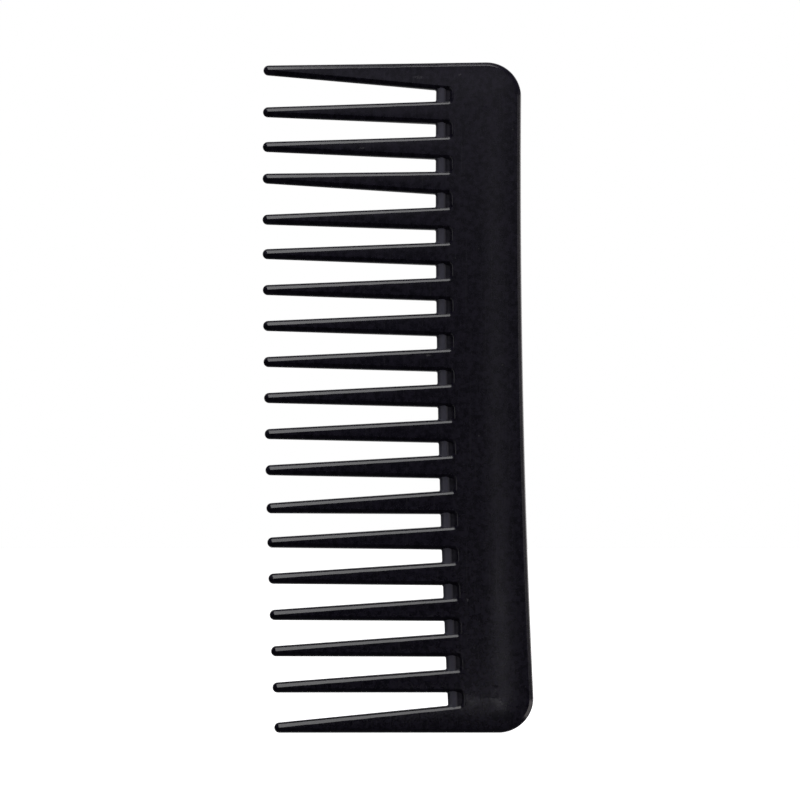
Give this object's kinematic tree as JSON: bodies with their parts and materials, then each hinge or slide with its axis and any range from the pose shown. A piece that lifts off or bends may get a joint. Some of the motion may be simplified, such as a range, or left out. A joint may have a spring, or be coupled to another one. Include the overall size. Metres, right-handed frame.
{
  "type": "wide tooth comb",
  "caption": "Plastic comb with a flat, slightly bowed spine, long tapered teeth that stand wide apart, and a thin recessed web at the root of each gap.",
  "frame": {"origin": "middle of the comb's width and thickness, on the plane of its lower end edge, on which it stands", "axes": "+Z along the comb's length, up; +X towards the back edge of the spine, so the teeth point to -X; the two broad faces look along -Y and +Y"},
  "size_m": [0.0646, 0.004, 0.16],
  "materials": {
    "black_plastic": "satin black moulded plastic with a fine mottled grain and light scuffs"
  },
  "bodies": {
    "root": {"spine": "black_plastic", "tooth_01": "black_plastic", "tooth_02": "black_plastic", "tooth_03": "black_plastic", "tooth_04": "black_plastic", "tooth_05": "black_plastic", "tooth_06": "black_plastic", "tooth_07": "black_plastic", "tooth_08": "black_plastic", "tooth_09": "black_plastic", "tooth_10": "black_plastic", "tooth_11": "black_plastic", "tooth_12": "black_plastic", "tooth_13": "black_plastic", "tooth_14": "black_plastic", "tooth_15": "black_plastic", "tooth_16": "black_plastic", "tooth_17": "black_plastic", "tooth_18": "black_plastic", "tooth_19": "black_plastic", "web_01": "black_plastic", "web_02": "black_plastic", "web_03": "black_plastic", "web_04": "black_plastic", "web_05": "black_plastic", "web_06": "black_plastic", "web_07": "black_plastic", "web_08": "black_plastic", "web_09": "black_plastic", "web_10": "black_plastic", "web_11": "black_plastic", "web_12": "black_plastic", "web_13": "black_plastic", "web_14": "black_plastic", "web_15": "black_plastic", "web_16": "black_plastic", "web_17": "black_plastic", "web_18": "black_plastic"}
  },
  "joints": []
}
